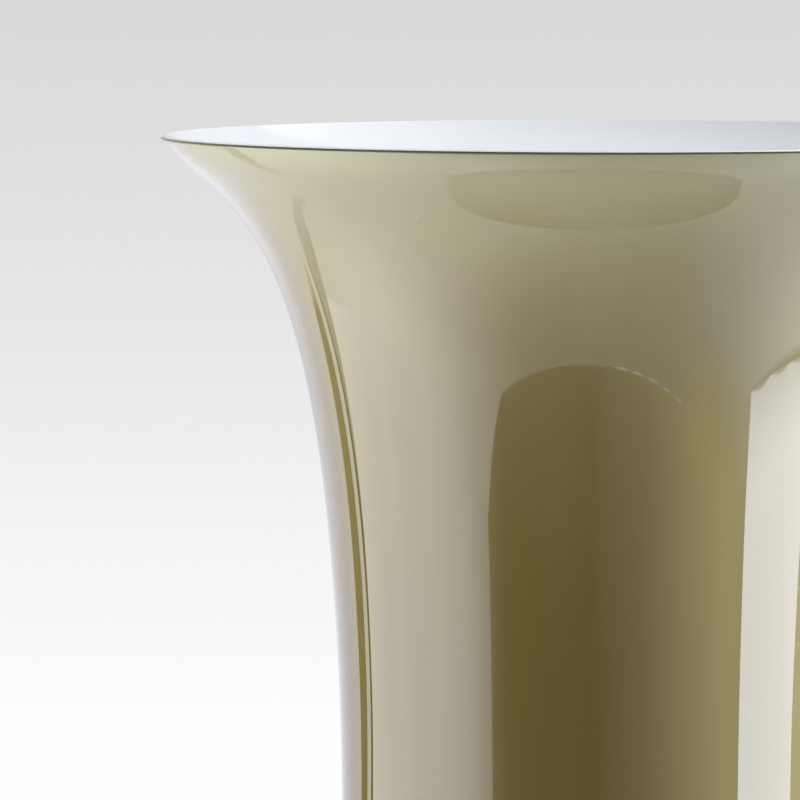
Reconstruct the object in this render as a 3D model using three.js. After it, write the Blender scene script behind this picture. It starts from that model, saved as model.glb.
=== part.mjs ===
// A blown glass vase with a trumpet mouth: a white opal cup fused inside a cup of taupe glass.
// Both layers end in one polished rim, square to the leaning wall, and the base is ground flat round a dish.
// Millimetres, +Z up, with the origin at the centre of the base on the surface that the vase stands on.
import * as THREE from 'three';

// Overall form: a straight body, then a flare up to the rim
const BODY_HEIGHT = 120.6;
const FLARE_HEIGHT = 179.4;
const BODY_DIAMETER = 131.4;
const RIM_DIAMETER = 220;

// Curve of the flare: how far each end's tangent pulls, as a share of its height, and its steepest lean
const WAIST_PULL = 0.853;
const FLARE_PULL = 0.126;
const FLARE_LEAN = 50;

// Turn of the lip back towards upright: its radius, and the lean that is left at the rim
const LIP_TURN = 28;
const LIP_LEAN = 34;

// Glass thickness: in the body's wall, across the wall at the rim, and in the bottom
const CASING_WALL = 2.2;
const CASING_RIM = 0.9;
const CASING_FLOOR = 3;
const LINING_WALL = 1.6;
const LINING_RIM = 0.7;
const LINING_FLOOR = 3;

// Edges and base: rounded heel, flat rest ring, polished dish and the clear button left in its middle
const HEEL_RADIUS = 12;
const RIM_ROUNDING = 0.25;
const REST_RING_WIDTH = 12;
const DISH_DEPTH = 2.5;
const SEAL_DIAMETER = 36;
const SEAL_THICKNESS = 2.5;

// Clearance kept between neighbouring glass bodies, where the real layers are fused
const FUSION_GAP = 0.3;

// Colours of the three glasses as they look in daylight, and the polish they share
const TAUPE_GLASS = 0x64573a;
const OPAL_GLASS = 0xf1f1ee;
const CLEAR_GLASS = 0x9a9478;
const POLISH_ROUGHNESS = 0.06;

// Fineness of the turned surfaces
const SIDES = 64;
const FLARE_STEPS = 12;
const LIP_STEPS = 3;
const HEEL_STEPS = 5;
const ROUNDING_STEPS = 3;
const DISH_STEPS = 4;

// Sizes that follow from the ones above
const HEIGHT = BODY_HEIGHT + FLARE_HEIGHT;
const BODY_RADIUS = BODY_DIAMETER / 2;
const RIM_RADIUS = RIM_DIAMETER / 2;
const RIM_WIDTH = CASING_RIM + FUSION_GAP + LINING_RIM;
const LIP_ANGLE = THREE.MathUtils.degToRad(LIP_LEAN);
const REST_OUTER = BODY_RADIUS - HEEL_RADIUS;
const REST_INNER = REST_OUTER - REST_RING_WIDTH;
const SEAL_RADIUS = SEAL_DIAMETER / 2;
const POCKET_RADIUS = SEAL_RADIUS + FUSION_GAP;
const SEAL_TOP = DISH_DEPTH + SEAL_THICKNESS;
const POCKET_TOP = SEAL_TOP + FUSION_GAP;

// The four skins of the two cups, from the outside in: body radius, end at the rim, floor and heel
const casingOutside = {
  body: BODY_RADIUS,
  end: rimPoint(0, RIM_ROUNDING),
  floor: 0,
  heel: HEEL_RADIUS,
};
const casingInside = {
  body: casingOutside.body - CASING_WALL,
  end: rimPoint(CASING_RIM, 0),
  floor: POCKET_TOP + CASING_FLOOR,
  heel: casingOutside.heel - CASING_WALL,
};
const liningOutside = {
  body: casingInside.body - FUSION_GAP,
  end: rimPoint(CASING_RIM + FUSION_GAP, 0),
  floor: casingInside.floor + FUSION_GAP,
  heel: casingInside.heel - FUSION_GAP,
};
const liningInside = {
  body: liningOutside.body - LINING_WALL,
  end: rimPoint(RIM_WIDTH, RIM_ROUNDING),
  floor: liningOutside.floor + LINING_FLOOR,
  heel: liningOutside.heel - LINING_WALL,
};

// A point at the rim, whose face is square to the wall and reaches the rim's radius and the full height:
// depth counts into the glass from the outside, and drop counts down the wall from the face
function rimPoint(depth, drop) {
  const outwards = new THREE.Vector2(Math.cos(LIP_ANGLE), -Math.sin(LIP_ANGLE));
  const upwards = new THREE.Vector2(Math.sin(LIP_ANGLE), Math.cos(LIP_ANGLE));
  const faceRise = (RIM_WIDTH - 2 * RIM_ROUNDING) * Math.sin(LIP_ANGLE);
  const point = new THREE.Vector2(RIM_RADIUS - RIM_ROUNDING, HEIGHT - RIM_ROUNDING - faceRise);
  point.addScaledVector(outwards, RIM_ROUNDING - depth);
  point.addScaledVector(upwards, RIM_ROUNDING - drop);
  return point;
}

// Points of a circular arc in the profile plane, where x is the radius and y the height
function arcPoints(centreX, centreY, radius, startDegrees, endDegrees, steps) {
  const start = THREE.MathUtils.degToRad(startDegrees);
  const end = THREE.MathUtils.degToRad(endDegrees);
  const clockwise = endDegrees < startDegrees;
  const arc = new THREE.EllipseCurve(centreX, centreY, radius, radius, start, end, clockwise);
  return arc.getPoints(steps);
}

// The rim's rounded edge about a point inside the glass, from one direction to another in degrees above level
function roundingPoints(centre, startDegrees, endDegrees) {
  return arcPoints(centre.x, centre.y, RIM_ROUNDING, startDegrees, endDegrees, ROUNDING_STEPS);
}

// The lip's turn, an arc whose wall goes from the steepest lean to the lean at the rim
function lipPoints(skin) {
  const centreX = skin.end.x - LIP_TURN * Math.cos(LIP_ANGLE);
  const centreY = skin.end.y + LIP_TURN * Math.sin(LIP_ANGLE);
  return arcPoints(centreX, centreY, LIP_TURN, -FLARE_LEAN, -LIP_LEAN, LIP_STEPS);
}

// The flare's curve from the top of the body to the start of the lip's turn
function flarePoints(skin, end) {
  const lean = THREE.MathUtils.degToRad(FLARE_LEAN);
  const waist = new THREE.Vector2(skin.body, BODY_HEIGHT);
  const height = end.y - waist.y;
  const waistTangent = new THREE.Vector2(0, WAIST_PULL * height);
  const endTangent = new THREE.Vector2(-Math.sin(lean), -Math.cos(lean));
  endTangent.multiplyScalar(FLARE_PULL * height);
  const waistHandle = waist.clone().add(waistTangent);
  const endHandle = end.clone().add(endTangent);
  const curve = new THREE.CubicBezierCurve(waist, waistHandle, endHandle, end);
  return curve.getPoints(FLARE_STEPS);
}

// One skin of a cup from the edge of its floor, round the heel and up the wall to the rim
function skinPoints(skin) {
  const heel = arcPoints(skin.body - skin.heel, skin.floor + skin.heel, skin.heel, -90, 0, HEEL_STEPS);
  const lip = lipPoints(skin);
  return [...heel, ...flarePoints(skin, lip[0]), ...lip.slice(1)];
}

// Height of the polished dish under the base: a shallow bowl, deepest on the axis
function dishHeight(radius) {
  return DISH_DEPTH * (1 - (radius / REST_INNER) ** 2);
}

// Points of the dish between two radii
function dishPoints(fromRadius, toRadius) {
  const points = [];
  for (let step = 0; step <= DISH_STEPS; step += 1) {
    const radius = THREE.MathUtils.lerp(fromRadius, toRadius, step / DISH_STEPS);
    points.push(new THREE.Vector2(radius, dishHeight(radius)));
  }
  return points;
}

// A solid of revolution in polished glass, from a profile that starts and ends on the axis, turned upright
function turnedGlass(name, profile, color) {
  const geometry = new THREE.LatheGeometry(profile, SIDES);
  geometry.rotateX(Math.PI / 2);
  const material = new THREE.MeshStandardMaterial({ color, roughness: POLISH_ROUGHNESS, metalness: 0 });
  const mesh = new THREE.Mesh(geometry, material);
  mesh.name = name;
  return mesh;
}

// Outer cup of taupe glass, with the pocket for the seal, the dish and the rest ring under its thick bottom
function makeCasing() {
  const centre = rimPoint(RIM_ROUNDING, RIM_ROUNDING);
  const rounding = roundingPoints(centre, -LIP_LEAN, 90 - LIP_LEAN);
  const profile = [
    new THREE.Vector2(0, POCKET_TOP),
    new THREE.Vector2(POCKET_RADIUS, POCKET_TOP),
    ...dishPoints(POCKET_RADIUS, REST_INNER),
    ...skinPoints(casingOutside),
    ...rounding.slice(1),
    ...skinPoints(casingInside).reverse(),
    new THREE.Vector2(0, casingInside.floor),
  ];
  return turnedGlass('taupe_casing', profile, TAUPE_GLASS);
}

// Inner cup of white opal glass, flush with the casing at the rim
function makeLining() {
  const centre = rimPoint(RIM_WIDTH - RIM_ROUNDING, RIM_ROUNDING);
  const rounding = roundingPoints(centre, 90 - LIP_LEAN, 180 - LIP_LEAN);
  const profile = [
    new THREE.Vector2(0, liningOutside.floor),
    ...skinPoints(liningOutside),
    ...rounding.slice(0, -1),
    ...skinPoints(liningInside).reverse(),
    new THREE.Vector2(0, liningInside.floor),
  ];
  return turnedGlass('opal_lining', profile, OPAL_GLASS);
}

// Button of clear glass in the middle of the base, polished into the same dish as the casing
function makeSeal() {
  const profile = [
    ...dishPoints(0, SEAL_RADIUS),
    new THREE.Vector2(SEAL_RADIUS, SEAL_TOP),
    new THREE.Vector2(0, SEAL_TOP),
  ];
  return turnedGlass('punty_seal', profile, CLEAR_GLASS);
}

const vase = new THREE.Group();
vase.add(makeCasing(), makeLining(), makeSeal());

export default vase;
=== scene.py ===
"""Looks of a blown glass vase: taupe glass cased over a white opal lining, in a small photo studio.

Everything stands in the packed part's own frame: metres, +Z up, the origin under the middle of the base.
"""
import math

import bpy
import numpy as np
from bpy.props import FloatProperty, FloatVectorProperty, IntProperty, PointerProperty
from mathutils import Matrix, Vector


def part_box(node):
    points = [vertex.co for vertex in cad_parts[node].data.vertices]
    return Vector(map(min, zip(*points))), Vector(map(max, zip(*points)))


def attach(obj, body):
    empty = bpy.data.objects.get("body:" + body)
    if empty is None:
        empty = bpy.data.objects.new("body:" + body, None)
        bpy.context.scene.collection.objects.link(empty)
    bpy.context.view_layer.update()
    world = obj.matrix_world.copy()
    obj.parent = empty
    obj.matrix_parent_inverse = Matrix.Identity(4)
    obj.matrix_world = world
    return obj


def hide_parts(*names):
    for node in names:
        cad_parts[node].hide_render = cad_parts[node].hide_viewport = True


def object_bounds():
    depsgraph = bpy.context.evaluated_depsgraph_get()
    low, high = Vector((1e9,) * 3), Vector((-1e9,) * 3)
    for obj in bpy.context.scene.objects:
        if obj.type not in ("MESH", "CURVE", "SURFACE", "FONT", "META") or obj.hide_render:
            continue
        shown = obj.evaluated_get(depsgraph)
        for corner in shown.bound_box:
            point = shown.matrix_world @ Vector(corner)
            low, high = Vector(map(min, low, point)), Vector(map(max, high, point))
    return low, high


bl_info = {
    "name": "Cased Glass Vase",
    "version": (1, 0, 0),
    "blender": (4, 5, 0),
    "location": "3D View > Sidebar > Vase",
    "description": "Builds a trumpet-mouthed vase of taupe glass over opal glass, and its studio",
    "category": "Add Mesh",
}

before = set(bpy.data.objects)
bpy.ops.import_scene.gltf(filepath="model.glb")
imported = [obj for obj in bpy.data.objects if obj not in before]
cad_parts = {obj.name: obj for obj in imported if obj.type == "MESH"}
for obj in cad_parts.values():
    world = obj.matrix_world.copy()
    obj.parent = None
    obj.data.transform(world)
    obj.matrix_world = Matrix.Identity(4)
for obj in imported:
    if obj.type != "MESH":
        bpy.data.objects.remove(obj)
CAD_LOW, CAD_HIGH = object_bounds()

# Sizes read from the packed solids
RIM_RADIUS = CAD_HIGH.x
VASE_HEIGHT = CAD_HIGH.z
LINING_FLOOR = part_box("opal_lining")[0].z
SEAL_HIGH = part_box("punty_seal")[1]
SEAL_RADIUS = SEAL_HIGH.x
SEAL_TOP = SEAL_HIGH.z

# Rows of the turned surfaces along each stretch of a profile, and the share of them that hidden skins get
FLARE_ROWS = 96
LIP_ROWS = 20
BODY_ROWS = 36
HEEL_ROWS = 18
ROUNDING_ROWS = 8
FLAT_ROWS = 6
DISH_ROWS = 18
HIDDEN_SHARE = 0.4

# Waves of the blown wall: strength, waves round the axis, turn per metre of height, and start
WAVER_WAVES = ((0.5, 3.0, 34.0, 0.7), (0.3, 5.0, -52.0, 2.1), (0.2, 2.0, 88.0, 4.0))
WAVER_WINDOW_POWER = 1.5

# Thickness of the coloured glass that the eye looks into, counted in walls of the body
EDGE_DEPTH = 3.0
EDGE_FADE_POWER = 10
STRETCH_POWER = 1.9
BASE_DEPTH = 1.3
BASE_FADE_HEIGHT = 0.022

# White that comes back from behind the coloured glass: less in the drawn-out wall, and less in a narrow band
# just under the rim's edge, a painted shade for the darker floor that the lip mirrors
OPAL_STRETCH_POWER = 0.4
RIM_SHADE = 0.11
RIM_SHADE_REACH = 0.0012

# Marks of blowing: turn and stretch of the streaks, spread of the seeds and their soft edge, and the film
STREAK_TURN = (0.0, math.radians(9.0), math.radians(20.0))
STREAK_STRETCH = (26.0, 26.0, 5.0)
STREAK_DETAIL = 3.0
SEED_SCALE = 70.0
SEED_REACH = 0.024
SEED_EDGE = (0.6, 1.0)
FILM_SCALE = 38.0
FILM_DETAIL = 4.0

# What the marks do: the part of their range that counts, and how far they change depth and roughness
STREAK_RANGE = (0.25, 0.75)
STREAK_DEPTH = (0.95, 1.05)
SEED_DEPTH = 0.15
PIT_STRENGTH = 0.08
PIT_DEPTH = 0.0002
FILM_RANGE = (0.35, 0.75)
CASING_POLISH = (0.01, 0.03)
LINING_POLISH = (0.03, 0.08)
LINING_MARKS = {"Streak Size": 0.6, "Seed Size": 0.8}
CASING_MARKS = {"Streak Size": 1.0, "Seed Size": 1.0}

# Finish of the glass: how it bends light, the ground foot, the lining's clouds and the seal's rings
GLASS_IOR = 1.52
FROST_COLOUR = (0.36, 0.33, 0.26, 1.0)
FROST_SHARE = 0.6
FROST_ROUGHNESS = 0.4
CLOUD_SHARE = 0.965
RING_SCALE = 420.0
RING_WARP = 1.2
RING_DEPTH = (0.92, 1.08)
RING_POLISH = (0.03, 0.08)

# Default of a group's colour sockets, and the places of the sockets of a Mix node that mixes colours
WHITE = (1.0, 1.0, 1.0, 1.0)
MIX_SHARE = 0
MIX_FIRST = 6
MIX_SECOND = 7
MIX_RESULT = 2

# Places in the photograph's frame of 800 by 800 pixels, from which the camera is worked out
PHOTO_SIDE = 800
AXIS_COLUMN = 609
LIP_COLUMN = 160.5
LIP_ROW = 137.7
SENSOR_MILLIMETRES = 36.0

# The map that a bake of the glass is drawn through, and the room that the rim gets in it
GLASS_MAP = "OFBake"
LIP_MAP_WEIGHT = 14.0
LIP_MAP_ROWS = 6


def a_length(name, description, default, precision=4):
    """A length in metres."""
    return FloatProperty(
        name=name, description=description, default=default, unit="LENGTH", precision=precision
    )


def a_number(name, description, default, subtype="NONE"):
    """A plain number, a factor or an angle."""
    return FloatProperty(name=name, description=description, default=default, subtype=subtype, precision=3)


def a_colour(name, description, default):
    """A colour in linear light."""
    return FloatVectorProperty(
        name=name, description=description, default=default, size=3, subtype="COLOR", min=0.0, max=1.0
    )


class VaseShape(bpy.types.PropertyGroup):
    """Sizes of the blown form."""

    body_radius: a_length("Body radius", "Outside radius of the straight body", 0.0657)
    body_height: a_length("Body height", "Height where the straight body turns into the flare", 0.1206)
    waist_pull: a_number("Waist pull", "Handle at the waist, a share of the curve's height", 0.853, "FACTOR")
    flare_pull: a_number("Flare pull", "Handle below the lip, as a share of that height", 0.126, "FACTOR")
    flare_lean: a_number("Flare lean", "Steepest lean from upright, below the lip", math.radians(50), "ANGLE")
    lip_turn: a_length("Lip turn", "Radius of the lip's turn back towards upright", 0.028)
    lip_lean: a_number("Lip lean", "Lean of the wall that is left at the rim", math.radians(34), "ANGLE")
    casing_wall: a_length("Casing wall", "Thickness of the taupe glass in the body", 0.0022)
    casing_rim: a_length("Casing rim", "Thickness of the taupe glass at the rim", 0.0009)
    lining_wall: a_length("Lining wall", "Thickness of the opal glass in the body", 0.0016)
    lining_rim: a_length("Lining rim", "Thickness of the opal glass at the rim", 0.0007)
    lining_floor: a_length("Lining floor", "Thickness of the opal glass in the bottom", 0.003)
    heel_radius: a_length("Heel radius", "Rounding where the body meets the base", 0.012)
    rim_rounding: a_length("Rim rounding", "Polished rounding of the rim's two edges", 0.00025, 5)
    rest_ring_width: a_length("Rest ring width", "Width of the ground ring that the vase stands on", 0.012)
    dish_depth: a_length("Dish depth", "Depth of the polished dish under the base", 0.0025)
    fusion_gap: a_length("Fusion gap", "Hairline left between the fused layers", 0.00002, 5)
    hand_waver: a_length("Hand waver", "How far the blown wall strays from a true turned form", 0.00009, 5)
    columns: IntProperty(name="Columns", description="Faces round the axis", default=256, min=16)


class VaseGlass(bpy.types.PropertyGroup):
    """Colours and finish of the three glasses."""

    taupe_through: a_colour(
        "Taupe through",
        "Light that comes back through one wall of the taupe glass",
        (0.147, 0.0951, 0.0235),
    )
    opal_backing: a_colour("Opal backing", "White that the taupe glass is seen against", (0.77, 0.82, 0.83))
    opal_white: a_colour("Opal white", "Colour of the lining's own surface", (0.83, 0.845, 0.905))
    seal_depth: a_number(
        "Seal depth", "Depth of colour seen through the clear button, in walls of the body", 0.55
    )


class VaseStudio(bpy.types.PropertyGroup):
    """Camera, floor and light of the studio."""

    camera_distance: a_length("Camera distance", "Distance of the camera from the vase's axis", 1.5)
    camera_rise: a_length("Camera rise", "Height of the camera above the rim's widest line", 0.054)
    floor_colour: a_colour("Floor colour", "Pale floor under the vase", (0.75, 0.75, 0.75))
    sky_low: a_colour("Background low", "Background at the bottom of the picture", (0.99, 0.99, 0.99))
    sky_high: a_colour(
        "Background high", "Background at the top of the picture and above it", (0.692, 0.692, 0.692)
    )
    fill_light: a_number("Fill light", "Strength of the plain light from all round", 0.35)


def arc(centre, radius, start, end, steps):
    """Points on a circle: centre + radius * (cos a, sin a), with a going from start to end in degrees."""
    angle = np.radians(np.linspace(start, end, steps + 1))
    return np.stack([centre[0] + radius * np.cos(angle), centre[1] + radius * np.sin(angle)], axis=1)


def line(start, end, steps):
    """Points evenly spaced from start to end."""
    share = np.linspace(0.0, 1.0, steps + 1)[:, None]
    return np.asarray(start) * (1.0 - share) + np.asarray(end) * share


def rim_width(shape):
    """Width of the rim's face across both layers."""
    return shape.casing_rim + shape.fusion_gap + shape.lining_rim


def rim_point(shape, depth, drop):
    """A point at the rim, whose face is square to the wall and reaches the rim's radius and the full height.

    depth counts into the glass from the outside, and drop counts down the wall from the face.
    """
    lean = shape.lip_lean
    rounding = shape.rim_rounding
    outwards = np.array([math.cos(lean), -math.sin(lean)])
    upwards = np.array([math.sin(lean), math.cos(lean)])
    face_rise = (rim_width(shape) - 2.0 * rounding) * math.sin(lean)
    corner = np.array([RIM_RADIUS - rounding, VASE_HEIGHT - rounding - face_rise])
    return corner + (rounding - depth) * outwards + (rounding - drop) * upwards


def lip_curve(shape, end, steps):
    """The lip's turn: an arc whose wall goes from the steepest lean to the lean at the rim."""
    turn = shape.lip_turn
    centre = end + turn * np.array([-math.cos(shape.lip_lean), math.sin(shape.lip_lean)])
    return arc(centre, turn, -math.degrees(shape.flare_lean), -math.degrees(shape.lip_lean), steps)


def flare(shape, body, end, steps):
    """Cubic Bezier curve from the top of the body, upright there, to the leaning start of the lip's turn."""
    waist = np.array([body, shape.body_height])
    height = end[1] - waist[1]
    waist_handle = waist + np.array([0.0, shape.waist_pull * height])
    lean = np.array([math.sin(shape.flare_lean), math.cos(shape.flare_lean)])
    end_handle = end - shape.flare_pull * height * lean
    t = np.linspace(0.0, 1.0, steps + 1)[:, None]
    s = 1.0 - t
    return s**3 * waist + 3.0 * s**2 * t * waist_handle + 3.0 * s * t**2 * end_handle + t**3 * end


def cup_skin(shape, body, end, floor, heel, share=1.0):
    """One skin of a cup: a quarter circle round the heel, a straight wall, the flare and the lip's turn."""
    turn = arc((body - heel, floor + heel), heel, -90.0, 0.0, round(HEEL_ROWS * share))
    wall = line((body, floor + heel), (body, shape.body_height), round(BODY_ROWS * share))
    lip = lip_curve(shape, end, round(LIP_ROWS * share))
    curve = flare(shape, body, lip[0], round(FLARE_ROWS * share))
    return np.concatenate([turn, wall[1:], curve[1:], lip[1:]])


def dish(shape, start, end, steps):
    """The polished dish under the base: height falls with the square of the radius to nothing at its edge."""
    edge = shape.body_radius - shape.heel_radius - shape.rest_ring_width
    radius = np.linspace(start, end, steps + 1)
    return np.stack([radius, shape.dish_depth * (1.0 - (radius / edge) ** 2)], axis=1)


def waver(shape, angle, height):
    """Small swell of the blown wall: a sum of waves round and up the form, none at the base and the rim."""
    share = np.clip(height / VASE_HEIGHT, 0.0, 1.0)
    window = (4.0 * share * (1.0 - share)) ** WAVER_WINDOW_POWER
    waves = sum(
        strength * np.sin(around * angle + rise * height + start)
        for strength, around, rise, start in WAVER_WAVES
    )
    return shape.hand_waver * window * waves


def carry(mesh, name, values):
    """Stores a number for each point of a mesh under a name."""
    attribute = mesh.attributes.new(name, "FLOAT", "POINT")
    attribute.data.foreach_set("value", np.ravel(values).astype(np.float32))


def turned_mesh(name, shape, profile, wavers, row_values, map_weight):
    """Carries a profile once round the Z axis: each point is ((r + w) cos a, (r + w) sin a, z).

    The profile's first and last points lie on the axis and become the two poles. wavers is 1 on the rows
    that stray from the true form by w, and 0 on the rest. row_values holds one number per row for each
    named attribute.
    """
    columns = shape.columns
    angle = np.arange(columns) * (2.0 * math.pi / columns)
    inner = profile[1:-1]
    rows = len(inner)
    radius = inner[:, :1] + wavers[1:-1, None] * waver(shape, angle[None, :], inner[:, 1:])
    height = np.broadcast_to(inner[:, 1:], radius.shape)
    grid = np.stack([radius * np.cos(angle), radius * np.sin(angle), height], axis=-1).reshape(-1, 3)
    poles = np.array([[0.0, 0.0, profile[0, 1]], [0.0, 0.0, profile[-1, 1]]])
    points = np.concatenate([grid, poles])
    first_pole = rows * columns
    last_pole = first_pole + 1

    here = np.arange(rows * columns).reshape(rows, columns)
    beside = np.roll(here, -1, axis=1)
    quads = np.stack([here[:-1], beside[:-1], beside[1:], here[1:]], axis=-1).reshape(-1, 4)
    first_fan = np.stack([np.full(columns, first_pole), beside[0], here[0]], axis=-1)
    last_fan = np.stack([here[-1], beside[-1], np.full(columns, last_pole)], axis=-1)

    mesh = bpy.data.meshes.new(name)
    mesh.from_pydata(points.tolist(), [], quads.tolist() + first_fan.tolist() + last_fan.tolist())
    mesh.shade_smooth()
    for attribute_name, values in row_values.items():
        carry(mesh, attribute_name, np.concatenate([np.repeat(values[1:-1], columns), values[[0, -1]]]))
    draw_glass_map(mesh, profile, columns, map_weight)
    return mesh


def draw_glass_map(mesh, profile, columns, map_weight):
    """The map of a turned mesh: u runs once round the axis, and v along the profile.

    v grows with the length of each step times map_weight, which stretches chosen rows.
    """
    steps = np.linalg.norm(np.diff(profile, axis=0), axis=1) * (0.5 * (map_weight[:-1] + map_weight[1:]))
    v = np.concatenate([[0.0], np.cumsum(steps)])
    v = v / v[-1]
    u = np.arange(columns) / columns
    u_next = u + 1.0 / columns
    u_middle = 0.5 * (u + u_next)
    row_v = v[1:-1]
    quad_shape = (len(row_v) - 1, columns, 4)
    quad_u = np.broadcast_to(np.stack([u, u_next, u_next, u], axis=-1), quad_shape)
    quad_v = np.stack([row_v[:-1], row_v[:-1], row_v[1:], row_v[1:]], axis=-1)
    quad_v = np.broadcast_to(quad_v[:, None, :], quad_shape)
    first_u = np.stack([u_middle, u_next, u], axis=-1)
    first_v = np.broadcast_to(np.array([v[0], v[1], v[1]]), (columns, 3))
    last_u = np.stack([u, u_next, u_middle], axis=-1)
    last_v = np.broadcast_to(np.array([v[-2], v[-2], v[-1]]), (columns, 3))
    all_u = np.concatenate([quad_u.ravel(), first_u.ravel(), last_u.ravel()])
    all_v = np.concatenate([quad_v.ravel(), first_v.ravel(), last_v.ravel()])
    layer = mesh.uv_layers.new(name=GLASS_MAP)
    layer.uv.foreach_set("vector", np.stack([all_u, all_v], axis=-1).astype(np.float32).ravel())


def add_object(name, mesh):
    """Links a mesh into the scene as an object at the origin."""
    thing = bpy.data.objects.new(name, mesh)
    bpy.context.scene.collection.objects.link(thing)
    return thing


def add_piece(name, mesh, material, node):
    """Puts a finished mesh into the scene in place of a packed node."""
    mesh.materials.append(material)
    piece = add_object(name, mesh)
    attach(piece, "root")
    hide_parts(node)


def new_material(name):
    """An empty node material and its tree."""
    material = bpy.data.materials.new(name)
    material.use_nodes = True
    material.node_tree.nodes.clear()
    return material, material.node_tree


def opaque(colour, share=1.0):
    """A share of a colour, with full alpha for a colour socket."""
    return (share * colour[0], share * colour[1], share * colour[2], 1.0)


def feed(tree, socket, value):
    """Links a socket to another node's output, or sets it to a plain value."""
    if isinstance(value, bpy.types.NodeSocket):
        tree.links.new(value, socket)
    else:
        socket.default_value = value


def add_node(tree, kind, values=None, **settings):
    """A new shader node: first its settings, then its inputs, fed by their name or place."""
    node = tree.nodes.new(f"ShaderNode{kind}")
    for name, setting in settings.items():
        setattr(node, name, setting)
    for key, value in (values or {}).items():
        feed(tree, node.inputs[key], value)
    return node


def math_node(tree, operation, first, second):
    """A Math node of two inputs, each a socket or a number; returns its output."""
    return add_node(tree, "Math", {0: first, 1: second}, operation=operation).outputs[0]


def map_range(tree, value, given, made, interpolation="SMOOTHSTEP"):
    """A step from one range of numbers to another, smooth unless said otherwise; returns its output."""
    limits = {"From Min": given[0], "From Max": given[1], "To Min": made[0], "To Max": made[1]}
    node = add_node(tree, "MapRange", {"Value": value, **limits}, interpolation_type=interpolation)
    return node.outputs["Result"]


def colour_mix(tree, share, first, second, blend="MIX"):
    """A Mix node of two colours by a share, each a socket or a value; returns its output."""
    values = {MIX_SHARE: share, MIX_FIRST: first, MIX_SECOND: second}
    return add_node(tree, "Mix", values, data_type="RGBA", blend_type=blend).outputs[MIX_RESULT]


def noise(tree, place, scale, detail):
    """Cloudy noise over a place; returns its output."""
    return add_node(tree, "TexNoise", {"Vector": place, "Scale": scale, "Detail": detail}).outputs["Fac"]


def object_place(tree):
    """The place of a point in its object's own frame; returns the output."""
    return add_node(tree, "TexCoord").outputs["Object"]


def attribute_value(tree, name):
    """A number that the mesh carries at each point; returns the output."""
    return add_node(tree, "Attribute", attribute_name=name).outputs["Fac"]


def shader_mix(tree, share, first, second):
    """A mix of two shaders by a share; returns its output."""
    return add_node(tree, "MixShader", {0: share, 1: first, 2: second}).outputs["Shader"]


def show(tree, shader):
    """Links a shader to the material's surface."""
    add_node(tree, "OutputMaterial", {"Surface": shader})


def show_glass(tree, inputs):
    """A glass surface with its inputs fed by name, shown by the material."""
    show(tree, add_node(tree, "BsdfPrincipled", {"IOR": GLASS_IOR, **inputs}).outputs["BSDF"])


def group_tree(name, inputs, outputs):
    """A new shader node group with its input node and its output node.

    inputs and outputs hold the default of each named socket: a number, or a colour with its alpha.
    """
    tree = bpy.data.node_groups.new(name, "ShaderNodeTree")
    for way, sockets in (("INPUT", inputs), ("OUTPUT", outputs)):
        for socket_name, default in sockets.items():
            kind = "NodeSocketFloat" if isinstance(default, float) else "NodeSocketColor"
            socket = tree.interface.new_socket(socket_name, in_out=way, socket_type=kind)
            socket.default_value = default
    return tree, tree.nodes.new("NodeGroupInput"), tree.nodes.new("NodeGroupOutput")


def colour_through_glass():
    """Group: the backing seen through coloured glass: share * backing * through ** depth."""
    existing = bpy.data.node_groups.get("colour_through_glass")
    if existing:
        return existing
    inputs = {"Through": WHITE, "Backing": WHITE, "Depth": 1.0, "Share": 1.0}
    tree, given, result = group_tree("colour_through_glass", inputs, {"Colour": WHITE})
    split = add_node(tree, "SeparateColor", {"Color": given.outputs["Through"]})
    faded = {
        channel: math_node(tree, "POWER", split.outputs[channel], given.outputs["Depth"])
        for channel in ("Red", "Green", "Blue")
    }
    join = add_node(tree, "CombineColor", faded)
    tint = colour_mix(tree, 1.0, given.outputs["Backing"], join.outputs["Color"], "MULTIPLY")
    shaded = add_node(tree, "VectorMath", {0: tint, "Scale": given.outputs["Share"]}, operation="SCALE")
    tree.links.new(shaded.outputs["Vector"], result.inputs["Colour"])
    return tree


def blown_marks():
    """Group: the marks of hand-blown glass: streaks drawn out along the wall, rare seeds and a faint film."""
    existing = bpy.data.node_groups.get("blown_marks")
    if existing:
        return existing
    inputs = {"Streak Size": 1.0, "Seed Size": 1.0}
    tree, given, result = group_tree("blown_marks", inputs, {"Streak": 0.0, "Seed": 0.0, "Film": 0.0})
    place = object_place(tree)
    turn = {"Vector": place, "Rotation": STREAK_TURN, "Scale": STREAK_STRETCH}
    drawn = add_node(tree, "Mapping", turn).outputs["Vector"]
    seed = add_node(tree, "TexVoronoi", {"Vector": place, "Scale": SEED_SCALE})
    reach = math_node(tree, "MULTIPLY", given.outputs["Seed Size"], SEED_REACH)
    near = math_node(tree, "DIVIDE", seed.outputs["Distance"], reach)
    marks = {
        "Streak": noise(tree, drawn, given.outputs["Streak Size"], STREAK_DETAIL),
        "Seed": map_range(tree, near, SEED_EDGE, (1.0, 0.0)),
        "Film": noise(tree, place, FILM_SCALE, FILM_DETAIL),
    }
    for name, value in marks.items():
        tree.links.new(value, result.inputs[name])
    return tree


def placed_marks(tree, sizes):
    """The marks of blowing in a material, with its own sizes; returns the outputs."""
    return add_node(tree, "Group", sizes, node_tree=blown_marks()).outputs


def seen_through(tree, glass, depth, share=1.0):
    """The white backing seen through a depth of taupe glass; returns its colour."""
    values = {
        "Through": opaque(glass.taupe_through),
        "Backing": opaque(glass.opal_backing),
        "Depth": depth,
        "Share": share,
    }
    return add_node(tree, "Group", values, node_tree=colour_through_glass()).outputs["Colour"]


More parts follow.
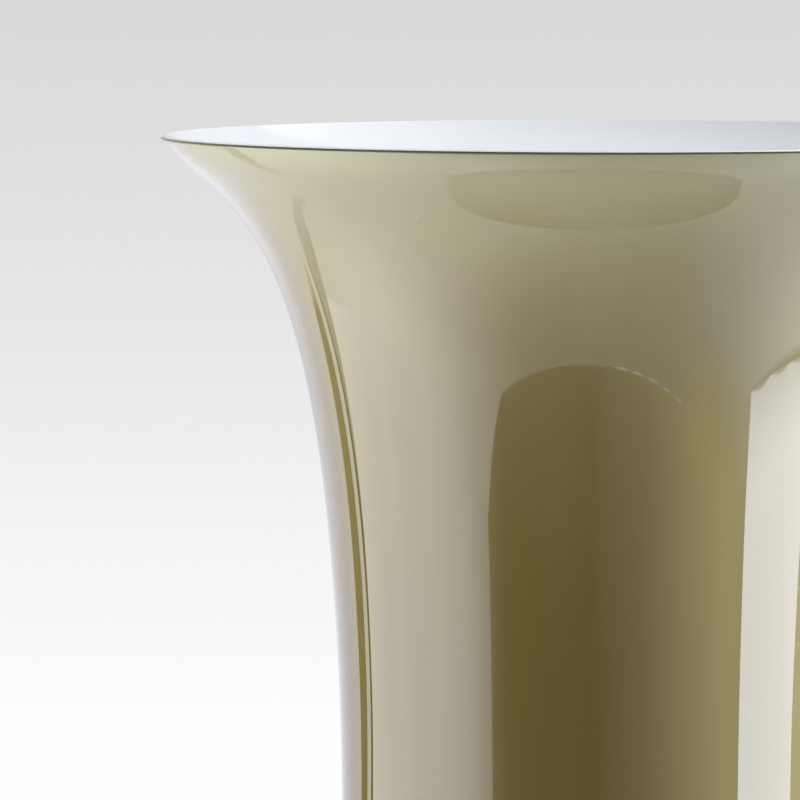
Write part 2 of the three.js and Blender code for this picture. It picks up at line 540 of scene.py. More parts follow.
def taupe_glass(glass):
    """Polished taupe glass over white, deeper in colour where it is thicker, and ground at the foot."""
    material, tree = new_material("taupe_glass_over_opal")
    marks = placed_marks(tree, CASING_MARKS)
    streaky = map_range(tree, marks["Streak"], STREAK_RANGE, STREAK_DEPTH)
    depth = math_node(tree, "MULTIPLY", attribute_value(tree, "glass_depth"), streaky)
    seeded = math_node(tree, "MULTIPLY", marks["Seed"], SEED_DEPTH)
    depth = math_node(tree, "SUBTRACT", depth, seeded)
    # The white backing's share also carries the painted shade just under the rim
    colour = seen_through(tree, glass, depth, attribute_value(tree, "opal_share_and_rim_shade"))
    ground = attribute_value(tree, "ground")
    frosted = math_node(tree, "MULTIPLY", ground, FROST_SHARE)
    roughened = math_node(tree, "MULTIPLY", ground, FROST_ROUGHNESS)
    polish = map_range(tree, marks["Film"], FILM_RANGE, CASING_POLISH)
    pit = {"Height": marks["Seed"], "Strength": PIT_STRENGTH, "Distance": PIT_DEPTH}
    show_glass(tree, {
        "Base Color": colour_mix(tree, frosted, colour, FROST_COLOUR),
        "Roughness": math_node(tree, "ADD", polish, roughened),
        "Normal": add_node(tree, "Bump", pit).outputs["Normal"],
    })
    return material


def opal_glass(glass):
    """Polished white opal glass with faint clouding."""
    material, tree = new_material("white_opal_glass")
    marks = placed_marks(tree, LINING_MARKS)
    dim = opaque(glass.opal_white, CLOUD_SHARE)
    show_glass(tree, {
        "Base Color": colour_mix(tree, marks["Streak"], dim, opaque(glass.opal_white)),
        "Roughness": map_range(tree, marks["Film"], FILM_RANGE, LINING_POLISH),
    })
    return material


def clear_glass(glass):
    """Clear polished glass over the taupe base, with faint rings from the polishing wheel."""
    material, tree = new_material("clear_punty_glass")
    wheel = {"Vector": object_place(tree), "Scale": RING_SCALE, "Distortion": RING_WARP}
    rings = add_node(tree, "TexWave", wheel, wave_type="RINGS", rings_direction="Z").outputs["Fac"]
    depths = [share * glass.seal_depth for share in RING_DEPTH]
    show_glass(tree, {
        "Base Color": seen_through(tree, glass, map_range(tree, rings, (0.0, 1.0), depths)),
        "Roughness": map_range(tree, rings, (0.0, 1.0), RING_POLISH),
    })
    return material


def drawn_out(shape, profile, power):
    """How much thinner each row is than the body: body radius over radius to a power, and at most 1."""
    return np.minimum(1.0, shape.body_radius / np.maximum(profile[:, 0], shape.body_radius)) ** power


def smooth_step(value, low, high):
    """0 below low, 1 above high, and a smooth step between."""
    share = np.clip((value - low) / (high - low), 0.0, 1.0)
    return share * share * (3.0 - 2.0 * share)


def casing_depth(shape, profile, lip_start):
    """Depth of colour on each row of the casing.

    The wall is drawn thinner as it flares. The heel and base are thicker. On the rim's face the eye looks
    down into the wall, and the rounded edge below passes over to that depth: wall + (edge - wall) * s ** 10.
    """
    low = smooth_step(1.0 - profile[:, 1] / BASE_FADE_HEIGHT, 0.0, 1.0)
    depth = drawn_out(shape, profile, STRETCH_POWER) + (BASE_DEPTH - 1.0) * low
    over = np.clip((np.arange(len(profile)) - lip_start) / ROUNDING_ROWS, 0.0, 1.0) ** EDGE_FADE_POWER
    return depth + (EDGE_DEPTH - depth) * over


def backing_share_and_rim_shade(shape, profile):
    """White that comes back on each row: less on the drawn-out wall, and painted shade just under the rim."""
    below = np.maximum(0.0, rim_point(shape, 0.0, 0.0)[1] - profile[:, 1])
    # Painted shade: a narrow darker band just under the rim's edge, for the darker floor that the lip mirrors
    kept = 1.0 - RIM_SHADE * np.exp(-below / RIM_SHADE_REACH)
    return drawn_out(shape, profile, OPAL_STRETCH_POWER) * kept


class VASE_OT_taupe_casing(bpy.types.Operator):
    """Outer cup of taupe glass with its flare, polished lip, thick bottom and ground foot"""

    bl_idname = "vase.taupe_casing"
    bl_label = "Taupe Casing"

    def execute(self, context):
        shape = context.scene.vase_shape
        rounding = shape.rim_rounding
        lean = math.degrees(shape.lip_lean)
        ring_outer = shape.body_radius - shape.heel_radius
        ring_inner = ring_outer - shape.rest_ring_width
        pocket = SEAL_RADIUS + shape.fusion_gap
        pocket_top = SEAL_TOP + shape.fusion_gap
        inside_body = shape.body_radius - shape.casing_wall
        inside_heel = shape.heel_radius - shape.casing_wall
        inside_floor = LINING_FLOOR - shape.fusion_gap
        inside_end = rim_point(shape, shape.casing_rim, 0.0)

        under = np.concatenate([
            line((0.0, pocket_top), (pocket, pocket_top), FLAT_ROWS),
            dish(shape, pocket, ring_inner, DISH_ROWS),
            line((ring_inner, 0.0), (ring_outer, 0.0), FLAT_ROWS)[1:],
        ])
        outside_end = rim_point(shape, 0.0, rounding)
        outside = cup_skin(shape, shape.body_radius, outside_end, 0.0, shape.heel_radius)[1:]
        lip = arc(rim_point(shape, rounding, rounding), rounding, -lean, 90.0 - lean, ROUNDING_ROWS)[1:]
        top = line(lip[-1], inside_end, FLAT_ROWS)[1:]
        inside = cup_skin(shape, inside_body, inside_end, inside_floor, inside_heel, HIDDEN_SHARE)
        axis_end = np.array([[0.0, inside_floor]])
        profile = np.concatenate([under, outside, lip, top, inside[::-1][1:], axis_end])

        rows = np.arange(len(profile))
        outside_start = len(under)
        lip_start = outside_start + len(outside) - 1
        top_end = lip_start + len(lip) + len(top)
        ring_start = outside_start - FLAT_ROWS
        wavers = ((rows >= outside_start) & (rows <= lip_start)).astype(float)
        weight = np.where((rows >= lip_start - LIP_MAP_ROWS) & (rows <= top_end), LIP_MAP_WEIGHT, 1.0)
        values = {
            "glass_depth": casing_depth(shape, profile, lip_start),
            # Share of the white, with the painted shade just under the rim
            "opal_share_and_rim_shade": backing_share_and_rim_shade(shape, profile),
            "ground": ((rows >= ring_start) & (rows < outside_start)).astype(float),
        }
        mesh = turned_mesh("casing_glass", shape, profile, wavers, values, weight)
        material = taupe_glass(context.scene.vase_glass)
        add_piece("casing_glass", mesh, material, "taupe_casing")
        return {"FINISHED"}


class VASE_OT_opal_lining(bpy.types.Operator):
    """Inner cup of white opal glass, flush with the casing at the rim"""

    bl_idname = "vase.opal_lining"
    bl_label = "Opal Lining"

    def execute(self, context):
        shape = context.scene.vase_shape
        rounding = shape.rim_rounding
        lean = math.degrees(shape.lip_lean)
        width = rim_width(shape)
        outer_body = shape.body_radius - shape.casing_wall - shape.fusion_gap
        outer_heel = shape.heel_radius - shape.casing_wall - shape.fusion_gap
        outer_end = rim_point(shape, shape.casing_rim + shape.fusion_gap, 0.0)
        inner_body = outer_body - shape.lining_wall
        inner_heel = outer_heel - shape.lining_wall
        inner_floor = LINING_FLOOR + shape.lining_floor
        inner_end = rim_point(shape, width, rounding)

        axis_start = np.array([[0.0, LINING_FLOOR]])
        outside = cup_skin(shape, outer_body, outer_end, LINING_FLOOR, outer_heel, HIDDEN_SHARE)
        lip_centre = rim_point(shape, width - rounding, rounding)
        lip = arc(lip_centre, rounding, 90.0 - lean, 180.0 - lean, ROUNDING_ROWS)
        top = line(outer_end, lip[0], FLAT_ROWS)[1:]
        lip = lip[1:]
        inside = cup_skin(shape, inner_body, inner_end, inner_floor, inner_heel)
        floor = line((inner_body - inner_heel, inner_floor), (0.0, inner_floor), FLAT_ROWS * 2)[1:]
        profile = np.concatenate([axis_start, outside, top, lip, inside[::-1][1:], floor])

        rows = np.arange(len(profile))
        inside_start = 1 + len(outside) + len(top) + len(lip)
        wavers = ((rows >= inside_start) & (rows < len(profile) - len(floor))).astype(float)
        weight = np.where((rows > len(outside)) & (rows <= inside_start), LIP_MAP_WEIGHT, 1.0)

        mesh = turned_mesh("lining_glass", shape, profile, wavers, {}, weight)
        material = opal_glass(context.scene.vase_glass)
        add_piece("lining_glass", mesh, material, "opal_lining")
        return {"FINISHED"}


class VASE_OT_punty_seal(bpy.types.Operator):
    """Clear button in the middle of the base, polished into the dish"""

    bl_idname = "vase.punty_seal"
    bl_label = "Punty Seal"

    def execute(self, context):
        shape = context.scene.vase_shape
        edge = dish(shape, 0.0, SEAL_RADIUS, DISH_ROWS)
        side = line((SEAL_RADIUS, edge[-1, 1]), (SEAL_RADIUS, SEAL_TOP), FLAT_ROWS)[1:]
        top = line((SEAL_RADIUS, SEAL_TOP), (0.0, SEAL_TOP), FLAT_ROWS)[1:]
        profile = np.concatenate([edge, side, top])
        still = np.zeros(len(profile))
        even = np.ones(len(profile))
        mesh = turned_mesh("seal_glass", shape, profile, still, {}, even)
        material = clear_glass(context.scene.vase_glass)
        add_piece("seal_glass", mesh, material, "punty_seal")
        return {"FINISHED"}


# Light from far behind, of the studio's lamps and of the warm room in front, by the tone of a card
FAR_COLOUR = (0.84, 0.86, 1.0, 1.0)
LAMP_COLOUR = (0.97, 1.0, 0.975, 1.0)
ROOM_COLOUR = (1.0, 0.95, 0.55, 1.0)
LAMP_TONE = 0.5

# Steps of the background between its low and high greys: share of the picture's height, and grey
BACKGROUND_STEPS = ((0.11, 0.982), (0.5, 0.839), (0.72, 0.757))

# Floor: radius, hole under the base, fade into the background, fineness and finish
FLOOR_RADIUS = 1.2
FLOOR_HOLE = 0.056
FLOOR_FADE = (0.50, 0.85)
FLOOR_COLUMNS = 64
FLOOR_RINGS = 8
FLOOR_ROUGHNESS = 0.7
FLOOR_GLOSS = 0.1
FLOOR_GRAIN = 60.0
FLOOR_GRAIN_DETAIL = 2.0
FLOOR_GRAIN_SHARE = 0.985

# Softbox at the left: its place, points along it, height, lean of its back end, and glow
LEFT_SOFTBOX_X = -0.55
LEFT_SOFTBOX_Y = (-0.465, -0.30, -0.15, 0.05, 0.312)
LEFT_SOFTBOX_HEIGHT = 0.32
LEFT_SOFTBOX_LEAN = 0.145
LEFT_SOFTBOX_GLOW = (3.0, 5.2, 5.8, 5.4, 3.8)

# Bright strip at the right: ends on the floor, heights, torn foot, and glow at the foot and above it
STRIP_ENDS = ((0.427, -0.332), (0.527, -0.107))
STRIP_POINTS = 24
STRIP_LIFT = 0.001
STRIP_TEAR = 0.006
STRIP_FADE_HEIGHT = 0.06
STRIP_HEIGHT = 0.25
STRIP_FOOT_GLOW = 9.0
STRIP_GLOW = 12.8

# Shade on the floor along the strip: the ends of its other edge, and glow and tone at both edges
STRIP_SHADE_ENDS = ((0.416, -0.327), (0.491, -0.092))
STRIP_SHADE_GLOW = ([3.4], [5.4])
STRIP_SHADE_TONE = ([0.85], [0.6])

# Fills in front that only light the set: ends at the right, height, and each one's name, side and glow
FILL_ENDS = ((0.30, -0.80), (0.85, -0.25))
FILL_HEIGHT = 0.30
FILLS = (("left_fill", -1.0, 1.0), ("right_fill", 1.0, 2.1))

# Softbox overhead, which slopes down at the right: its front edge, depth and glow
TOP_FRONT = ((-0.9, -0.65, 1.15), (0.2, -0.65, 1.15), (1.2, -0.65, 0.45))
TOP_DEPTH = 1.2
TOP_GLOW = (0.95, 1.0, 4.4)

# Front edge of the lit table, and a ragged bright fringe along part of it, a painted reflection that only the
# glass mirrors: reach, lines in from the edge, tear, and uneven glow
TABLE_EDGE_X = (LEFT_SOFTBOX_X, -0.345, -0.04, 0.75)
TABLE_EDGE_Y = (-0.47, -0.392, -0.443, -0.545)
FRINGE_SPAN = (0.0, 0.25)
FRINGE_POINTS = 40
FRINGE_NEAR = 0.001
FRINGE_FAR = 0.002
FRINGE_TEAR = 0.005
FRINGE_GLOW = 1.3
FRINGE_GLOW_TEAR = 2.2

# The room in front of the table from left to right: place, glow at table height and higher up, and tone
ROOM_X = (LEFT_SOFTBOX_X, -0.36, -0.06, 0.09, 0.26, 0.514, 0.75)
ROOM_LOW_GLOW = (1.0, 0.5, 0.3, 1.1, 2.8, 4.2, 4.2)
ROOM_HIGH_GLOW = (1.0, 0.0, 0.12, 1.0, 2.7, 4.2, 4.2)
ROOM_TONE = (0.75, 0.4, 0.4, 0.8, 1.0, 1.0, 1.0)
ROOM_FADE_HEIGHT = 0.1
ROOM_HEIGHT = 0.6

# Lit floor as the glass mirrors it: reach, fineness, and heights of it and of the bands on it
SHEEN_REACH = 3.0
SHEEN_COLUMNS = 120
SHEEN_FRONT_ROWS = 80
SHEEN_BACK_ROWS = 120
SHEEN_LIFT = 0.0008
BAND_LIFT = 0.0016

# Its glow where white is 1: all over, behind, far behind, and added in front, at the near left and each side
EVEN_SHEEN = 1.3
BEHIND_SHEEN = 1.45
FAR_SHEEN = 0.95
NEAR_SHEEN = 0.25
NEAR_LEFT_SHEEN = 0.8
LEFT_SHEEN = 4.4
RIGHT_SHEEN = 4.7

# Where that glow lies: bells by their middle and two widths in degrees from the front, and steps in metres
LEFT_BELL = (-86.0, 33.0, 40.0)
LEFT_BELL_POWER = 3
LEFT_RISE = (0.0, 0.55)
RIGHT_BELL = (75.0, 36.0, 40.0)
RIGHT_RISE = (0.0, 0.5)
NEAR_LEFT_BELL = (-42.0, 28.0, 26.0)
NEAR_FADE = (0.15, 0.45)
FRONT_RISE = (-0.05, 0.15)
BEHIND_RISE = (0.1, 0.6)
FAR_RISE = (1.0, 2.2)

# Where its tone changes: warm in front and at the right, cool behind a sloping line, and into the room
WARM_FRONT_Y = (0.3, 0.55)
WARM_FRONT_X = (0.05, 0.35)
WARM_RIGHT = ((0.25, 0.2, 0.45), (0.75, 0.55, 0.8))
COOL_SLOPE = 0.86
COOL_RISE = (0.0, 0.3)
INTO_ROOM_SHARE = (0.6, 1.0)
INTO_ROOM_X = (0.14, 0.26)

# Shadow of the mouth on the floor round the foot, and the collar of the same light close round the body
SHADOW_MIDDLE = (-0.013, -0.010)
SHADOW_RADIUS = 0.117
SHADOW_POINTS = 96
SHADOW_GLOW = 1.3
SHADOW_GLOW_CHANGE = 0.2
SHADOW_TONE = 0.6
COLLAR_FOOT = 0.067
COLLAR_TOP = 0.0715
COLLAR_HEIGHT = 0.2
COLLAR_SHARE = 0.95

# Dark lines on the table at the left: name, x, y of the near and of the far edge, glow and tone
TABLE_LINES = (
    (
        "near_shade",
        (-0.262, -0.300, -0.374, -0.450, -0.800, -0.900),
        (0.222, 0.245, 0.243, 0.270, 0.430, 0.490),
        (0.264, 0.282, 0.310, 0.340, 0.461, 0.492),
        1.4,
        LAMP_TONE,
    ),
    (
        "near_line",
        (-0.450, -0.800, -0.980),
        (0.340, 0.461, 0.520),
        (0.343, 0.488, 0.568),
        0.03,
        LAMP_TONE,
    ),
    (
        "far_line",
        (-0.420, -0.550, -0.600, -0.691, -0.950),
        (0.345, 0.420, 0.451, 0.497, 0.624),
        (0.352, 0.462, 0.520, 0.600, 0.806),
        (2.2, 1.4, 0.55, 0.5, 0.5),
        (0.5, 0.7, 0.9, 1.0, 1.0),
    ),
)


def lifted(foot, height):
    """Floor points raised to a height."""
    foot = np.asarray(foot)
    return np.hstack([foot, np.full((len(foot), 1), height)])


def standing_card(foot, low, high):
    """Lower and upper edge of an upright card above a line of floor points."""
    return lifted(foot, low), lifted(foot, high)


def lying_card(near, far):
    """Two edges of a card that lies just above the floor."""
    return lifted(near, BAND_LIFT), lifted(far, BAND_LIFT)


def ragged(count):
    """Uneven numbers from 0 to 1 for a torn edge: |sin(13 i)|."""
    return np.abs(np.sin(13.0 * np.arange(count)))


def table_edge(x):
    """Front edge of the lit table, a line with two corners."""
    return np.interp(x, TABLE_EDGE_X, TABLE_EDGE_Y)


def card_glow(name, one_sided):
    """Light of a card: its mesh says at each point how strong it is, and its tone from cool to warm.

    A one-sided card is clear from behind.
    """
    material, tree = new_material(name)
    ramp = add_node(tree, "ValToRGB", {"Fac": attribute_value(tree, "tone")})
    stops = ramp.color_ramp.elements
    stops[0].color = FAR_COLOUR
    stops[1].color = ROOM_COLOUR
    stops.new(LAMP_TONE).color = LAMP_COLOUR
    light = {"Color": ramp.outputs["Color"], "Strength": attribute_value(tree, "glow")}
    shown = add_node(tree, "Emission", light).outputs["Emission"]
    if one_sided:
        behind = add_node(tree, "NewGeometry").outputs["Backfacing"]
        clear = add_node(tree, "BsdfTransparent").outputs["BSDF"]
        shown = shader_mix(tree, behind, shown, clear)
    show(tree, shown)
    return material


def place_card(name, points, faces, glow, tone, lights=False, mirrored=True, one_sided=False):
    """Puts a glowing card into the studio, hidden from the camera.

    A card that lights the set is a lamp, and a mirrored one shows in reflections.
    """
    mesh = bpy.data.meshes.new(name)
    mesh.from_pydata(points.tolist(), [], faces.tolist())
    carry(mesh, "glow", glow)
    carry(mesh, "tone", tone)
    mesh.materials.append(card_glow(f"{name}_glow", one_sided))
    card = add_object(name, mesh)
    card.visible_camera = False
    card.visible_shadow = False
    card.visible_diffuse = lights
    card.visible_glossy = mirrored


def add_card(name, edges, glow, tone=LAMP_TONE, **ways):
    """A ribbon between two edges: point = first edge + v * (second edge - first edge).

    Glow and tone are one number, one for each point along the edges, or a row of numbers for each edge.
    The other ways of a card go on to place_card.
    """
    first, second = edges
    count = len(first)
    at = np.arange(count - 1)
    faces = np.stack([at, at + 1, at + 1 + count, at + count], axis=-1)
    glows = np.broadcast_to(np.asarray(glow, dtype=float), (2, count))
    tones = np.broadcast_to(np.asarray(tone, dtype=float), (2, count))
    place_card(name, np.concatenate([first, second]), faces, glows, tones, **ways)


def bump(value, middle, before, after, after_power=2):
    """Bell of height 1 at the middle, with its own width on each side and a flatter top after it if asked."""
    width = np.where(value < middle, before, after)
    power = np.where(value < middle, 2, after_power)
    return np.exp(-(np.abs((value - middle) / width) ** power))


def signed_square(count_below, count_above):
    """Numbers from -1 to 1 that lie closer together near 0: t * |t|."""
    below = np.linspace(-1.0, 0.0, count_below + 1)[:-1]
    above = np.linspace(0.0, 1.0, count_above + 1)
    share = np.concatenate([below, above])
    return share * np.abs(share)


def strip_line():
    """Floor points along the foot of the bright strip."""
    return line(*STRIP_ENDS, STRIP_POINTS)


def add_lamps():
    """The softbox at the left, the bright strip at the right, two fills in front and the softbox overhead."""
    left_foot = [(LEFT_SOFTBOX_X, y) for y in LEFT_SOFTBOX_Y]
    left_low, left_high = standing_card(left_foot, 0.0, LEFT_SOFTBOX_HEIGHT)
    left_high[-1, 1] -= LEFT_SOFTBOX_LEAN
    add_card("left_softbox", (left_low, left_high), LEFT_SOFTBOX_GLOW, lights=True)

    foot = strip_line()
    foot_low, foot_high = standing_card(foot, STRIP_LIFT, STRIP_FADE_HEIGHT)
    foot_low[:, 2] += STRIP_TEAR * ragged(len(foot))
    add_card("strip_foot", (foot_low, foot_high), ([STRIP_FOOT_GLOW], [STRIP_GLOW]))
    add_card("right_strip", standing_card(foot, STRIP_FADE_HEIGHT, STRIP_HEIGHT), STRIP_GLOW)

    for name, side, glow in FILLS:
        fill_foot = [(side * x, y) for x, y in FILL_ENDS]
        add_card(name, standing_card(fill_foot, 0.0, FILL_HEIGHT), glow, lights=True, mirrored=False)

    top_front = np.array(TOP_FRONT)
    top_back = top_front + np.array([0.0, TOP_DEPTH, 0.0])
    add_card("top_softbox", (top_front, top_back), TOP_GLOW, lights=True)


def add_room():
    """The room in front of the table, fading upwards from its light at table height."""
    foot = [(x, table_edge(x)) for x in ROOM_X]
    low = standing_card(foot, 0.0, ROOM_FADE_HEIGHT)
    high = standing_card(foot, ROOM_FADE_HEIGHT, ROOM_HEIGHT)
    add_card("room_low", low, (ROOM_LOW_GLOW, ROOM_HIGH_GLOW), ROOM_TONE)
    add_card("room_high", high, ROOM_HIGH_GLOW, ROOM_TONE)


def add_floor_sheen():
    """Light of the lit floor as the glass mirrors it.

    A grid of (x, y), closer near the vase: x = reach * u, and y = edge(x) * -v in front or reach * v behind.
    The glow rises towards the softbox on the left and the strip on the right, cools far behind and passes
    over to the room's own light at the right of the front edge. There is none under the vase.
    """
    x = SHEEN_REACH * signed_square(SHEEN_COLUMNS, SHEEN_COLUMNS)[None, :]
    v = signed_square(SHEEN_FRONT_ROWS, SHEEN_BACK_ROWS)[:, None]
    y = np.where(v < 0.0, -table_edge(x) * v, SHEEN_REACH * v)
    x = np.broadcast_to(x, y.shape)
    radius = np.hypot(x, y)
    azimuth = np.degrees(np.arctan2(x, -y))

    left_bell = bump(azimuth, *LEFT_BELL, after_power=LEFT_BELL_POWER)
    left = LEFT_SHEEN * left_bell * smooth_step(radius, *LEFT_RISE)
    right = RIGHT_SHEEN * bump(azimuth, *RIGHT_BELL) * smooth_step(radius, *RIGHT_RISE)
    near = 1.0 - smooth_step(radius, *NEAR_FADE)
    front = NEAR_SHEEN * smooth_step(-y, *FRONT_RISE)
    front = near * (front + NEAR_LEFT_SHEEN * bump(azimuth, *NEAR_LEFT_BELL))
    behind = smooth_step(y, *BEHIND_RISE)
    even = EVEN_SHEEN + (BEHIND_SHEEN - EVEN_SHEEN) * behind
    even = even + (FAR_SHEEN - even) * smooth_step(y, *FAR_RISE)
    glow = even + front + left + right

    warmth = smooth_step(-y, *WARM_FRONT_Y) * smooth_step(x, *WARM_FRONT_X)
    warmth = np.maximum(warmth, sum(share * smooth_step(x, low, high) for share, low, high in WARM_RIGHT))
    cool = behind * smooth_step(y + COOL_SLOPE * x, *COOL_RISE) * (1.0 - warmth)
    tone = LAMP_TONE + (1.0 - LAMP_TONE) * warmth - LAMP_TONE * cool

    into_room = smooth_step(-v, *INTO_ROOM_SHARE) * smooth_step(x, *INTO_ROOM_X)
    glow = glow + (np.interp(x, ROOM_X, ROOM_LOW_GLOW) - glow) * into_room
    tone = tone + (np.interp(x, ROOM_X, ROOM_TONE) - tone) * into_room

    points = np.stack([x, y, np.full_like(x, SHEEN_LIFT)], axis=-1).reshape(-1, 3)
    here = np.arange(x.size).reshape(x.shape)
    faces = np.stack([here[:-1, :-1], here[:-1, 1:], here[1:, 1:], here[1:, :-1]], axis=-1).reshape(-1, 4)
    faces = faces[radius.ravel()[faces].min(axis=1) > COLLAR_FOOT]
    place_card("floor_sheen", points, faces, glow, tone)


def add_mouth_shadow():
    """Dim ring round the foot, warmed by the glass above it and brighter towards the softbox.

    A cone of the same light stands close round the body, seen from outside only, so the flare mirrors one
    even disc and not the body itself.
    """
    angle = np.linspace(0.0, 2.0 * math.pi, SHADOW_POINTS + 1)
    around = np.stack([np.cos(angle), np.sin(angle)], axis=1)
    outer = np.asarray(SHADOW_MIDDLE) + SHADOW_RADIUS * around
    inner = COLLAR_FOOT * around
    glow = SHADOW_GLOW - SHADOW_GLOW_CHANGE * np.cos(angle)
    add_card("mouth_shadow", lying_card(outer, inner), glow, SHADOW_TONE)
    collar = (lifted(inner, BAND_LIFT), lifted(COLLAR_TOP * around, COLLAR_HEIGHT))
    add_card("foot_collar", collar, COLLAR_SHARE * glow, SHADOW_TONE, one_sided=True)


def add_table_lines():
    """Bands that lie on the table: the strip's shade, a ragged bright fringe at the front edge and the dark
    lines at the left.
    """
    strip_shade = lying_card(strip_line(), line(*STRIP_SHADE_ENDS, STRIP_POINTS))
    add_card("strip_shade", strip_shade, STRIP_SHADE_GLOW, STRIP_SHADE_TONE)

    # Painted reflection: a ragged bright fringe along the table's front edge, a glowing card that only the
    # glass mirrors
    x = np.linspace(*FRINGE_SPAN, FRINGE_POINTS)
    tear = ragged(FRINGE_POINTS)
    near = np.stack([x, table_edge(x) + FRINGE_NEAR], axis=1)
    far = np.stack([x, table_edge(x) + FRINGE_FAR + FRINGE_TEAR * tear], axis=1)
    add_card("table_edge", lying_card(near, far), FRINGE_GLOW + FRINGE_GLOW_TEAR * tear)

    for name, line_x, near_y, far_y, glow, tone in TABLE_LINES:
        edges = lying_card(np.stack([line_x, near_y], axis=1), np.stack([line_x, far_y], axis=1))
        add_card(name, edges, glow, tone)


def pale_floor(studio):
    """Floor finish: pale and matt, seen from above only, fading into the background away from the vase."""
    material, tree = new_material("pale_floor")
    place = object_place(tree)
    grain = noise(tree, place, FLOOR_GRAIN, FLOOR_GRAIN_DETAIL)
    dim = opaque(studio.floor_colour, FLOOR_GRAIN_SHARE)
    paint = add_node(tree, "BsdfPrincipled", {
        "Base Color": colour_mix(tree, grain, dim, opaque(studio.floor_colour)),
        "Roughness": FLOOR_ROUGHNESS,
        "Specular IOR Level": FLOOR_GLOSS,
    })
    reach = add_node(tree, "VectorMath", {0: place}, operation="LENGTH").outputs["Value"]
    kept = map_range(tree, reach, FLOOR_FADE, (1.0, 0.0))
    behind = add_node(tree, "NewGeometry").outputs["Backfacing"]
    shown = math_node(tree, "MULTIPLY", kept, math_node(tree, "SUBTRACT", 1.0, behind))
    clear = add_node(tree, "BsdfTransparent").outputs["BSDF"]
    show(tree, shader_mix(tree, shown, clear, paint.outputs["BSDF"]))
    return material


def add_floor(studio):
    """A round floor at height 0: rings of radius h + (R - h) * s, for s from 0 to 1.

    It is open inside the radius h, under the base, so that the foot is lit and can be seen from below.
    """
    angle = np.arange(FLOOR_COLUMNS) * (2.0 * math.pi / FLOOR_COLUMNS)
    radius = np.linspace(FLOOR_HOLE, FLOOR_RADIUS, FLOOR_RINGS + 1)[:, None]
    flat = np.zeros((FLOOR_RINGS + 1, FLOOR_COLUMNS))
    points = np.stack([radius * np.cos(angle), radius * np.sin(angle), flat], axis=-1).reshape(-1, 3)
    here = np.arange(flat.size).reshape(flat.shape)
    beside = np.roll(here, -1, axis=1)
    quads = np.stack([here[:-1], here[1:], beside[1:], beside[:-1]], axis=-1).reshape(-1, 4)
    mesh = bpy.data.meshes.new("studio_floor")
    mesh.from_pydata(points.tolist(), [], quads.tolist())
    mesh.materials.append(pale_floor(studio))
    floor = add_object("studio_floor", mesh)


def picture_scale():
    """Metres per pixel of the photograph at the vase, from the rim's radius."""
    return RIM_RADIUS / (AXIS_COLUMN - LIP_COLUMN)


def camera_pitch(studio):
    """Angle of the camera below level, which puts the rim's widest line in the photograph's row."""
    rim_above_middle = (PHOTO_SIDE / 2 - LIP_ROW) * picture_scale()
    below_level = math.atan(studio.camera_rise / studio.camera_distance)
    return below_level + math.atan(rim_above_middle / studio.camera_distance)


def half_view(studio):
    """Half of the camera's angle of view."""
    return math.atan(PHOTO_SIDE / 2 * picture_scale() / studio.camera_distance)


def add_camera(scene, studio):
    """A long lens just above the rim, with the vase's axis to the right of the middle."""
    data = bpy.data.cameras.new("photo_camera")
    data.sensor_width = SENSOR_MILLIMETRES
    data.lens = SENSOR_MILLIMETRES / (2.0 * math.tan(half_view(studio)))
    camera = bpy.data.objects.new("photo_camera", data)
    aside = (PHOTO_SIDE / 2 - AXIS_COLUMN) * picture_scale()
    rounding = scene.vase_shape.rim_rounding
    widest = rim_point(scene.vase_shape, rounding, rounding)[1]
    camera.location = (aside, -studio.camera_distance, widest + studio.camera_rise)
    camera.rotation_euler = (math.pi / 2 - camera_pitch(studio), 0.0, 0.0)
    scene.collection.objects.link(camera)
    scene.camera = camera


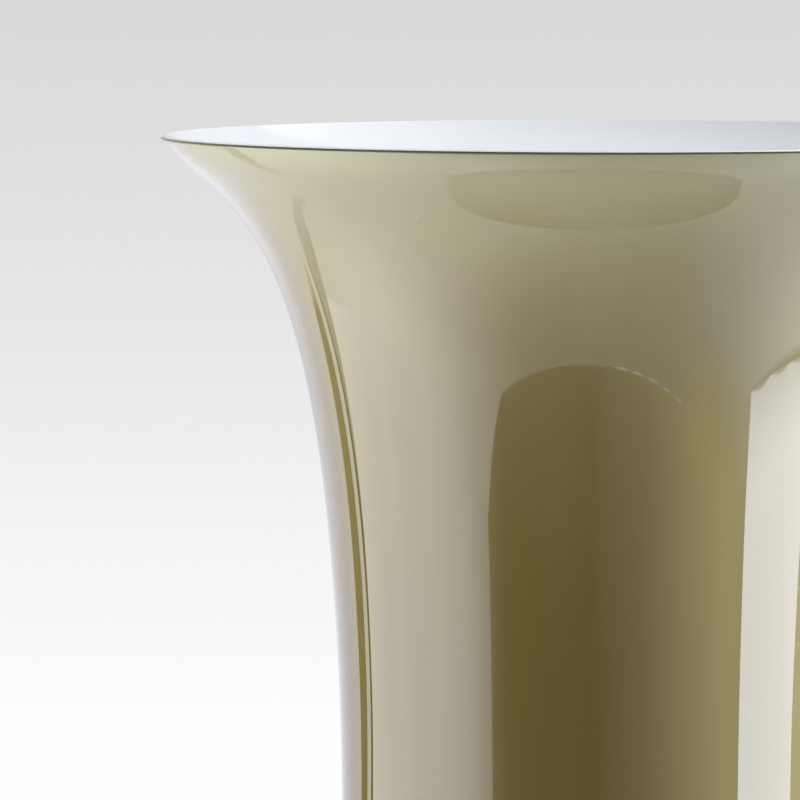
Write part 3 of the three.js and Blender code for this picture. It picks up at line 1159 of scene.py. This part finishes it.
def add_background(scene, studio):
    """White to grey behind the vase, by the height of the line of sight, and plain light from all round."""
    world = bpy.data.worlds.new("studio_background")
    world.use_nodes = True
    tree = world.node_tree
    tree.nodes.clear()
    sight = add_node(tree, "TexCoord").outputs["Generated"]
    height = add_node(tree, "SeparateXYZ", {"Vector": sight}).outputs["Z"]
    lowest = -math.sin(camera_pitch(studio) + half_view(studio))
    highest = -math.sin(camera_pitch(studio) - half_view(studio))
    ramp = add_node(tree, "ValToRGB", {
        "Fac": map_range(tree, height, (lowest, highest), (0.0, 1.0), "LINEAR"),
    })
    stops = ramp.color_ramp.elements
    stops[0].color = opaque(studio.sky_low)
    stops[1].color = opaque(studio.sky_high)
    for place_up, grey in BACKGROUND_STEPS:
        stops.new(place_up).color = (grey, grey, grey, 1.0)
    seen = add_node(tree, "Background", {"Color": ramp.outputs["Color"]}).outputs["Background"]
    fill = add_node(tree, "Background", {"Strength": studio.fill_light}).outputs["Background"]
    path = add_node(tree, "LightPath").outputs
    mirrored = math_node(tree, "MAXIMUM", path["Is Glossy Ray"], path["Is Transmission Ray"])
    shown = math_node(tree, "MAXIMUM", path["Is Camera Ray"], mirrored)
    add_node(tree, "OutputWorld", {"Surface": shader_mix(tree, shown, fill, seen)})
    scene.world = world


class VASE_OT_studio(bpy.types.Operator):
    """Camera, background, pale floor and the cards that light the vase and show in its gloss"""

    bl_idname = "vase.studio"
    bl_label = "Studio"

    def execute(self, context):
        scene = context.scene
        studio = scene.vase_studio
        scene.view_settings.view_transform = "Standard"
        add_camera(scene, studio)
        add_background(scene, studio)
        add_floor(studio)
        add_lamps()
        add_room()
        add_floor_sheen()
        add_mouth_shadow()
        add_table_lines()
        return {"FINISHED"}


class VASE_PT_sidebar(bpy.types.Panel):
    """Lists the vase's pieces, sizes and colours"""

    bl_label = "Cased Glass Vase"
    bl_idname = "VASE_PT_sidebar"
    bl_space_type = "VIEW_3D"
    bl_region_type = "UI"
    bl_category = "Vase"

    def draw(self, context):
        layout = self.layout
        for operator in OPERATORS:
            layout.operator(operator.bl_idname)
        for group_name, group in SETTINGS:
            box = layout.box()
            box.label(text=group.__doc__.rstrip("."))
            for field in group.__annotations__:
                box.prop(getattr(context.scene, group_name), field)


SETTINGS = (
    ("vase_shape", VaseShape),
    ("vase_glass", VaseGlass),
    ("vase_studio", VaseStudio),
)
OPERATORS = (VASE_OT_studio, VASE_OT_taupe_casing, VASE_OT_opal_lining, VASE_OT_punty_seal)


def register():
    """Registers the settings, the operators and the panel."""
    for group_name, group in SETTINGS:
        bpy.utils.register_class(group)
        setattr(bpy.types.Scene, group_name, PointerProperty(type=group))
    for cls in (*OPERATORS, VASE_PT_sidebar):
        bpy.utils.register_class(cls)


def unregister():
    """Takes away all that register added."""
    for cls in (VASE_PT_sidebar, *reversed(OPERATORS)):
        bpy.utils.unregister_class(cls)
    for group_name, group in reversed(SETTINGS):
        delattr(bpy.types.Scene, group_name)
        bpy.utils.unregister_class(group)


def main():
    register()
    bpy.ops.vase.studio()
    bpy.ops.vase.taupe_casing()
    bpy.ops.vase.opal_lining()
    bpy.ops.vase.punty_seal()


if __name__ == "__main__":
    main()
